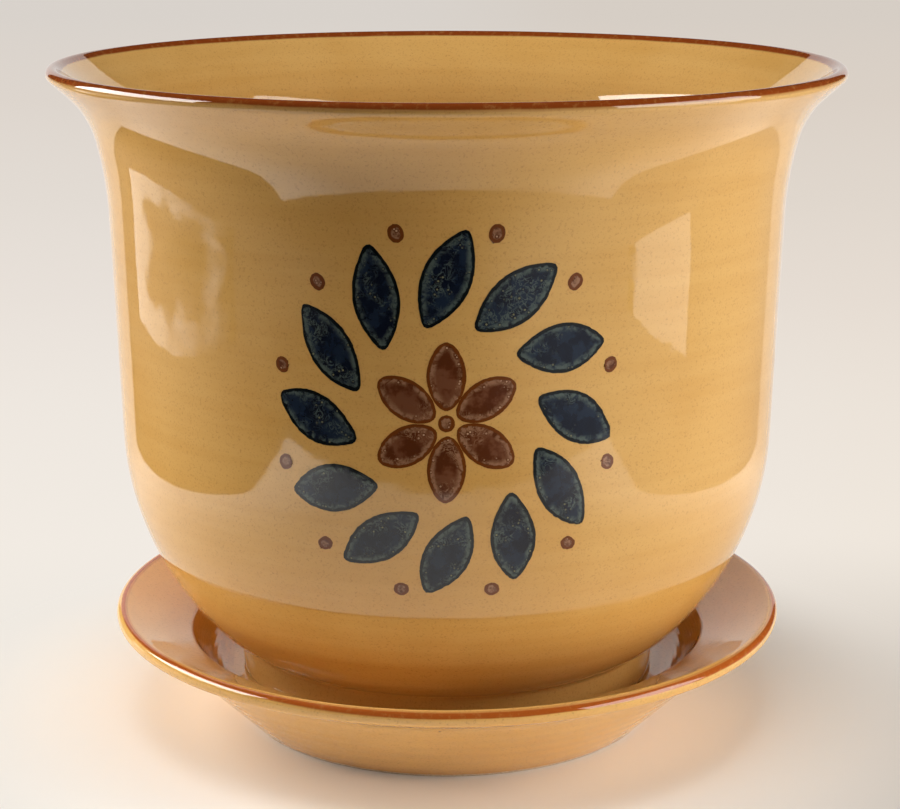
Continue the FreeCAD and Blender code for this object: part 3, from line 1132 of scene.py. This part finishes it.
@dataclass
class Ornament:
    """A wreath of stamped leaves round a blossom, on the front of the pot's wall."""

    before_wall: float = 135.5
    level: float = 150.0
    leaf: Stamp = Stamp(36.0, 17.5)
    leaf_count: int = 12
    leaf_ring: float = 50.0
    leaf_lean: float = 24.0
    leaf_sway: float = 2.4
    sway_step: float = 12.9898
    petal: Stamp = Stamp(24.0, 14.0, 1.35, 30, 12)
    petal_count: int = 6
    petal_ring: float = 16.5
    bud: Stamp = Stamp(6.4, 5.6, 2.0, 14, 8)
    bud_ring: float = 67.5
    heart: Stamp = Stamp(6.0, 6.0, 2.0, 14, 8)
    raised: float = 0.08
    sunk: float = 0.35

    def build(self, pot: Piece) -> dict[Pigment, Piece]:
        """Press every print and lay it on the wall.

        Args:
            pot: The pot that carries the ornament.

        Returns:
            One piece for each pigment.
        """
        leaves = self._ring(self.leaf, "leaf", self.leaf_ring, self.leaf_count, lean=self.leaf_lean)
        rust = self._ring(self.petal, "petal", self.petal_ring, self.petal_count)
        rust += self._ring(self.bud, "bud", self.bud_ring, self.leaf_count, offset=0.5)
        rust += self._ring(self.heart, "heart", 0.0, 1)
        return {
            Pigment.NAVY: self._bed(leaves, "stamped_leaves", pot),
            Pigment.RUST: self._bed(rust, "stamped_blossom", pot),
        }

    def dress(self, pieces: dict[Pigment, Piece]) -> None:
        """Give each pigment's piece its slip.

        Args:
            pieces: One piece for each pigment.
        """
        for pigment, piece in pieces.items():
            hand_over(piece, SLIPS[pigment].fire(pigment.value + "_slip"), "pot")

    def _ring(self, stamp: Stamp, name: str, ring: float, count: int,
              lean: float = 0.0, offset: float = 0.0) -> list[Piece]:
        """Press a ring of prints and hold them before the wall.

        Args:
            stamp: The stamp to press.
            name: What the prints are called.
            ring: The ring's radius, in millimetres.
            count: How many prints the ring has.
            lean: How far a print leans from the ring's spoke, in degrees.
            offset: How much of one place the ring is turned by.

        Returns:
            The prints, standing upright before the wall.
        """
        sheet = stamp.cut(name)
        prints = []
        for number in range(count):
            made = stamp.press(sheet, f"{name}_{number}", number)
            spoke = FULL_TURN * (number + offset) / count
            sway = self.leaf_sway * math.sin(number * self.sway_step)
            made.rotation_euler = (0, 0, -spoke - math.radians(lean + sway))
            made.location = Vector((math.sin(spoke), math.cos(spoke), 0)) * ring * MM
            settle(made)
            made.rotation_euler = (math.pi / 2, 0, 0)
            made.location = Vector((0, -self.before_wall, self.level)) * MM
            prints.append(settle(made))
        bpy.data.objects.remove(sheet)
        return prints

    def _bed(self, prints: list[Piece], name: str, pot: Piece) -> Piece:
        """Join prints of one pigment, bend them round the wall and press them on.

        Args:
            prints: The prints before the wall.
            name: The joined piece's name.
            pot: The pot that carries them.

        Returns:
            The closed piece, a little proud of the wall and sunk into it behind.
        """
        piece = join(prints)
        piece.name = piece.data.name = name
        self._measure_insets(piece)
        modify(piece, "wrap", "SHRINKWRAP", target=pot, wrap_method="NEAREST_SURFACEPOINT",
               wrap_mode="ABOVE_SURFACE", offset=self.raised * MM)
        modify(piece, "body", "SOLIDIFY", thickness=(self.raised + self.sunk) * MM, offset=-1.0)
        apply_all(piece)
        smooth(piece, sharpest=60.0)
        return piece

    def _measure_insets(self, piece: Piece) -> None:
        """Store how far each point is from its print's edge, in millimetres.

        Args:
            piece: The joined prints, still flat.
        """
        mesh = piece.data
        uses = Counter(key for face in mesh.polygons for key in face.edge_keys)
        rim = sorted({vertex for key, count in uses.items() if count == 1 for vertex in key})
        tree = kdtree.KDTree(len(rim))
        for place, vertex in enumerate(rim):
            tree.insert(mesh.vertices[vertex].co, place)
        tree.balance()
        inset = mesh.attributes.new("inset", "FLOAT", "POINT")
        for vertex in mesh.vertices:
            inset.data[vertex.index].value = tree.find(vertex.co)[2] / MM


# --- The studio ---


@dataclass(frozen=True)
class Panel:
    """A soft light panel, in metres, that the glaze itself doesn't mirror."""

    name: str
    centre: Place
    aim: Place
    wide: float
    tall: float
    watts: float
    colour: Colour = (1.0, 0.985, 0.965)

    def hang(self) -> None:
        """Hang the panel, facing its aim."""
        data = bpy.data.lights.new(self.name, "AREA")
        data.shape = "RECTANGLE"
        data.size, data.size_y = self.wide, self.tall
        data.energy = self.watts
        data.color = self.colour
        lamp = bpy.data.objects.new(self.name, data)
        bpy.context.scene.collection.objects.link(lamp)
        lamp.location = self.centre
        aim = Vector(self.aim) - Vector(self.centre)
        lamp.rotation_euler = aim.to_track_quat("-Z", "Y").to_euler()
        lamp.visible_camera = lamp.visible_glossy = False


@dataclass(frozen=True)
class Glow:
    """A soft box's face as the glaze mirrors it: a bright frame round a dimmer middle.

    Args:
        name: The card's name.
        centre: Its centre, in metres.
        wide: How far it reaches along the table's side, or across it, in metres.
        tall: How high it is, in metres.
        turn: Its turn about the upright axis, in degrees.
        edge: The strength near its edges.
        middle: The strength in its middle.
        ragged: The share of its width over which its near side frays.
        colour: The light's colour.
        raised: How far the dimmer middle lies above the card's own, as a share of its height.
        frame: How far from the middle the bright frame begins, and where it is all there.
        cloud: How much clouds move the frame.
        fray: How much more they move the frayed side.
    """

    name: str
    centre: Place
    wide: float
    tall: float
    turn: float
    edge: float
    middle: float
    ragged: float = 0.0
    colour: Colour = (1.0, 0.965, 0.92)
    raised: float = 0.07
    frame: Span = (0.24, 0.32)
    cloud: float = 0.40
    fray: float = 2.6

    def hang(self) -> None:
        """Hang the card where only mirroring surfaces meet it."""
        clear_bench()
        bpy.ops.mesh.primitive_grid_add(x_subdivisions=8, y_subdivisions=8, size=1.0)
        card = bpy.context.object
        card.name = self.name
        card.scale = (self.wide, self.tall, 1.0)
        card.rotation_euler = (math.pi / 2, 0, math.radians(self.turn))
        card.location = self.centre
        card.data.materials.append(self._light())
        card.visible_camera = card.visible_diffuse = card.visible_shadow = False

    def _light(self) -> Material:
        """Mix the card's light.

        Returns:
            The material.
        """
        mix = Recipe(self.name)
        across = mix.sum("ABSOLUTE", mix.axis("X"))
        up = mix.sum("ABSOLUTE", mix.minus(mix.axis("Y"), self.raised))
        cloud = mix.times(mix.minus(mix.noise(4.0, 3.0), 0.5), self.cloud)
        share = mix.step(mix.plus(mix.sum("MAXIMUM", across, up), cloud), *self.frame)
        strength = mix.plus(mix.times(share, self.edge - self.middle), self.middle)
        if self.ragged:
            near = mix.times(mix.axis("X"), math.copysign(1.0, self.turn))
            frayed = mix.plus(near, mix.times(cloud, self.fray))
            side = -0.5
            strength = mix.times(strength, mix.step(frayed, side, side + self.ragged))
        return mix.close(mix.shine(self.colour, strength))


@dataclass(frozen=True)
class Table:
    """The pale floor, and the table's part of it that the glaze mirrors, in metres.

    A span holds a step's two ends: where it is 0, and where it is 1.

    Args:
        half_width: Half of the table's width, where it is narrowest.
        front_bow: How much the front edge bows back towards its ends.
        back_flare: How much wider it gets beyond flare_back, to a metre.
        front_flare: How much wider it gets before flare_front, to a metre.
        bounce: The paper's colour as matt surfaces meet it.
        sheen: The paper's own light, with front_sheen more at the front left.
        sheen_right: How much of front_sheen there is at the front right.
        beside_boxes: How bright the mirrored paper is beside the boxes.
        front_lift: How much lighter matt surfaces meet the paper at the front right.
        left_room: How bright the mirrored room is on the left, and right_room on the right.
        fade: The paper's colours under painted light that dims as it runs back, at shares of fade_length.
        shaded: The pot's painted shadow on the paper at the near right, over the painted dimming of the right
            side.
    """

    floor_size: float = 24.0
    half_width: float = 0.392
    front_edge: float = -0.472
    front_bow: float = 0.62
    flare_back: float = 0.28
    back_flare: float = 0.88
    flare_front: float = -0.22
    front_flare: float = 0.20
    softness: float = 0.006
    paper: Colour = (0.87, 0.835, 0.785)
    bounce: Colour = (0.88, 0.79, 0.67)
    dark: Colour = (0.02, 0.02, 0.02)
    sheen: float = 0.045
    front_sheen: float = 0.10
    sheen_away: Span = (-0.02, -0.20)
    sheen_across: Span = (0.20, -0.10)
    sheen_right: float = 0.55
    beside_boxes: float = 0.75
    boxes_side: Span = (0.20, 0.40)
    boxes_away: Span = (0.34, 0.10)
    front_lift: float = 0.12
    lift_across: Span = (-0.03, 0.09)
    lift_away: Span = (-0.03, -0.11)
    lift_reach: Span = (0.24, 0.17)
    left_room: float = 0.16
    left_across: Span = (-0.42, -0.70)
    right_room: float = 0.36
    right_across: Span = (0.05, 0.42)
    fade_reach: Span = (0.12, 0.22)
    fade_length: float = 4.0
    fade: tuple[tuple[float, Colour], ...] = (
        (0.0, (0.860, 0.815, 0.750)), (1.0, (0.690, 0.645, 0.600)), (0.05, (0.885, 0.830, 0.765)),
        (0.125, (0.855, 0.800, 0.740)), (0.21, (0.810, 0.750, 0.695)),
        (0.335, (0.765, 0.710, 0.655)), (0.57, (0.725, 0.665, 0.610)))
    dim_right: Colour = (0.975, 0.955, 0.930)
    dim_right_across: Span = (-0.10, 0.35)
    shaded: Colour = (0.72, 0.685, 0.66)
    shaded_across: Span = (-0.02, 0.17)
    shaded_away: Span = (0.24, -0.08)

    def lay(self) -> None:
        """Lay the floor. Glaze mirrors only the table's part of it."""
        clear_bench()
        bpy.ops.mesh.primitive_grid_add(x_subdivisions=24, y_subdivisions=24, size=self.floor_size)
        floor = bpy.context.object
        floor.name = "floor"
        mix = Recipe("pale_floor")
        on_table, sheen, dark = self._outline(mix), self._sheen(mix), mix.matt(self.dark)
        paper = mix.both(mix.matt(self.paper), sheen)
        # Away from the object the camera sees painted light: a glow in the fade's colours, in place of the
        # lit paper.
        seen = mix.choose(mix.step(mix.reach(), *self.fade_reach), paper, mix.shine(self._fade(mix), 1.0))
        bounced = self._bounced(mix, on_table, sheen, dark)
        mirrored = self._mirrored(mix, on_table, seen, dark)
        ray = mix.node("ShaderNodeLightPath").outputs
        met = mix.choose(ray["Is Glossy Ray"], bounced, mirrored)
        floor.data.materials.append(mix.close(mix.choose(ray["Is Camera Ray"], met, seen)))

    def _outline(self, mix: Recipe) -> Socket:
        """Draw the table's outline.

        Args:
            mix: The floor's recipe.

        Returns:
            1 on the table and 0 beside it.
        """
        side, away = mix.sum("ABSOLUTE", mix.axis("X")), mix.axis("Y")
        beyond = mix.sum("MAXIMUM", mix.minus(away, self.flare_back), 0.0)
        before = mix.sum("MAXIMUM", mix.minus(self.flare_front, away), 0.0)
        flare = mix.plus(mix.times(beyond, self.back_flare), mix.times(before, self.front_flare))
        inward = mix.minus(side, flare)
        bowed = mix.minus(away, mix.times(mix.sum("POWER", side, 2.0), self.front_bow))
        soft = self.softness
        return mix.times(mix.step(inward, self.half_width + soft, self.half_width - soft),
                         mix.step(bowed, self.front_edge - soft, self.front_edge + soft))

    def _sheen(self, mix: Recipe) -> Socket:
        """Mix the paper's own light, most of it at the front left.

        Args:
            mix: The floor's recipe.

        Returns:
            The shader.
        """
        left = mix.step(mix.axis("X"), *self.sheen_across)
        left = mix.sum("MULTIPLY_ADD", left, 1 - self.sheen_right, self.sheen_right)
        front = mix.times(mix.step(mix.axis("Y"), *self.sheen_away), left, self.front_sheen)
        return mix.shine(self.paper, mix.plus(front, self.sheen))

    def _mirrored(self, mix: Recipe, on_table: Socket, seen: Socket, dark: Socket) -> Socket:
        """Mix the floor as the glaze mirrors it: the table, and a grey room beside it.

        Args:
            mix: The floor's recipe.
            on_table: 1 on the table and 0 beside it.
            seen: The floor as the camera sees it.
            dark: The dark room's shader.

        Returns:
            The shader.
        """
        across, away = mix.axis("X"), mix.axis("Y")
        beside = mix.times(mix.step(mix.sum("ABSOLUTE", across), *self.boxes_side),
                           mix.step(away, *self.boxes_away), self.beside_boxes)
        grey = mix.plus(mix.times(mix.step(across, *self.left_across), self.left_room),
                        mix.times(mix.step(across, *self.right_across), self.right_room))
        room = mix.both(dark, mix.shine(WHITE, grey))
        return mix.choose(on_table, room, mix.both(seen, mix.shine(WHITE, beside)))

    def _bounced(self, mix: Recipe, on_table: Socket, sheen: Socket, dark: Socket) -> Socket:
        """Mix the floor as matt surfaces meet it: paper on the table, and a dark room round it.

        Args:
            mix: The floor's recipe.
            on_table: 1 on the table and 0 beside it.
            sheen: The paper's own light.
            dark: The dark room's shader.

        Returns:
            The shader.
        """
        lift = mix.times(mix.step(mix.axis("X"), *self.lift_across), mix.step(mix.axis("Y"), *self.lift_away),
                         mix.step(mix.reach(), *self.lift_reach), self.front_lift)
        paper = mix.both(mix.matt(self.bounce), mix.shine(self.bounce, lift))
        return mix.choose(on_table, dark, mix.both(paper, sheen))

    def _fade(self, mix: Recipe) -> Socket:
        """Mix the paper's colour under painted light that dims as it runs back from the table and off to the
        right.

        Args:
            mix: The floor's recipe.

        Returns:
            The colour.
        """
        across, away = mix.axis("X"), mix.axis("Y")
        ramp = mix.node("ShaderNodeValToRGB", mix.sum("DIVIDE", away, self.fade_length))
        stops = ramp.color_ramp.elements
        for number, (place, colour) in enumerate(self.fade):
            stop = stops[number] if number < 2 else stops.new(place)
            stop.position, stop.color = place, (*colour, 1.0)
        # Painted shade: the right side dims, and the pot's painted shadow darkens the near right.
        dim_right = mix.mix(mix.step(across, *self.dim_right_across), WHITE, self.dim_right)
        near_right = mix.times(mix.step(across, *self.shaded_across), mix.step(away, *self.shaded_away))
        return mix.mix(1.0, ramp.outputs[0], mix.mix(near_right, dim_right, self.shaded), "MULTIPLY")


@dataclass
class Studio:
    """A pale table between two soft boxes, and the camera in front of it."""

    table: Table = Table()
    camera_place: Place = (0.0012, -0.8337, 0.3354)
    camera_pitch: float = 14.22
    focal_length: float = 85.78
    sensor_width: float = 36.0
    pale_world: Colour = (0.68, 0.63, 0.58)
    dim_world: Colour = (0.015, 0.015, 0.015)
    panels: tuple[Panel, ...] = (
        Panel("left_panel", (-0.70, 0.19, 0.36), (0.0, 0.19, 0.36), 0.57, 0.74, 8.3),
        Panel("right_panel", (0.70, -0.27, 0.31), (0.0, -0.27, 0.31), 0.34, 0.64, 5.7),
        Panel("top_panel", (-0.12, -0.32, 1.2), (0.0, 0.0, 0.1), 0.7, 0.7, 6.9),
    )
    glows: tuple[Glow, ...] = (
        Glow("left_box", (-0.70, 0.015, 0.47), 0.67, 0.35, -90.0, 9.0, 10.0),
        Glow("left_skirt", (-0.70, 0.06, 0.055), 0.69, 0.14, -90.0, 1.75, 0.32, ragged=0.62),
        Glow("right_box", (0.70, -0.40, 0.385), 0.70, 0.47, 90.0, 4.5, 4.5),
        Glow("right_skirt", (0.70, -0.29, 0.07), 0.332, 0.14, 90.0, 1.8, 1.8, ragged=0.14),
        Glow("rear_skirt", (0.70, 0.138, 0.07), 0.524, 0.14, 90.0, 0.36, 0.36),
        Glow("backdrop", (0.0, 0.62, 0.25), 0.90, 0.50, 0.0, 0.85, 0.85),
    )

    def build(self) -> None:
        """Set the camera, the table, the lights and the world."""
        self._camera()
        self.table.lay()
        for light in (*self.panels, *self.glows):
            light.hang()
        self._world()
        bpy.context.scene.view_settings.view_transform = "Standard"

    def _camera(self) -> None:
        """Set the camera in front of the table."""
        data = bpy.data.cameras.new("camera")
        data.sensor_width = self.sensor_width
        data.lens = self.focal_length
        camera = bpy.data.objects.new("camera", data)
        bpy.context.scene.collection.objects.link(camera)
        camera.location = self.camera_place
        camera.rotation_euler = (math.radians(90 - self.camera_pitch), 0, 0)
        bpy.context.scene.camera = camera

    def _world(self) -> None:
        """Make the world pale where the camera sees it, and a dim room for everything else."""
        world = bpy.data.worlds.new("room")
        bpy.context.scene.world = world
        world.use_nodes = True
        tree = world.node_tree
        tree.nodes.clear()
        path = tree.nodes.new("ShaderNodeLightPath")
        both = tree.nodes.new("ShaderNodeMixShader")
        output = tree.nodes.new("ShaderNodeOutputWorld")
        tree.links.new(path.outputs["Is Camera Ray"], both.inputs[0])
        for socket, colour in zip(list(both.inputs)[1:], (self.dim_world, self.pale_world)):
            back = tree.nodes.new("ShaderNodeBackground")
            back.inputs["Color"].default_value = (*colour, 1.0)
            tree.links.new(back.outputs[0], socket)
        tree.links.new(both.outputs[0], output.inputs[0])


# --- All together ---


def main() -> None:
    """Build the studio, the saucer, the pot and its ornament."""
    logging.basicConfig(level=logging.INFO, format="%(relativeCreated)6d ms %(message)s")
    Studio().build()
    LOG.info("studio: camera, table, panels and cards")

    saucer = Saucer()
    saucer.dress(saucer.build())

    pot = FlowerPot()
    pot_body = pot.build()
    pot.dress(pot_body)

    ornament = Ornament()
    ornament.dress(ornament.build(pot_body))


if __name__ == "__main__":
    main()
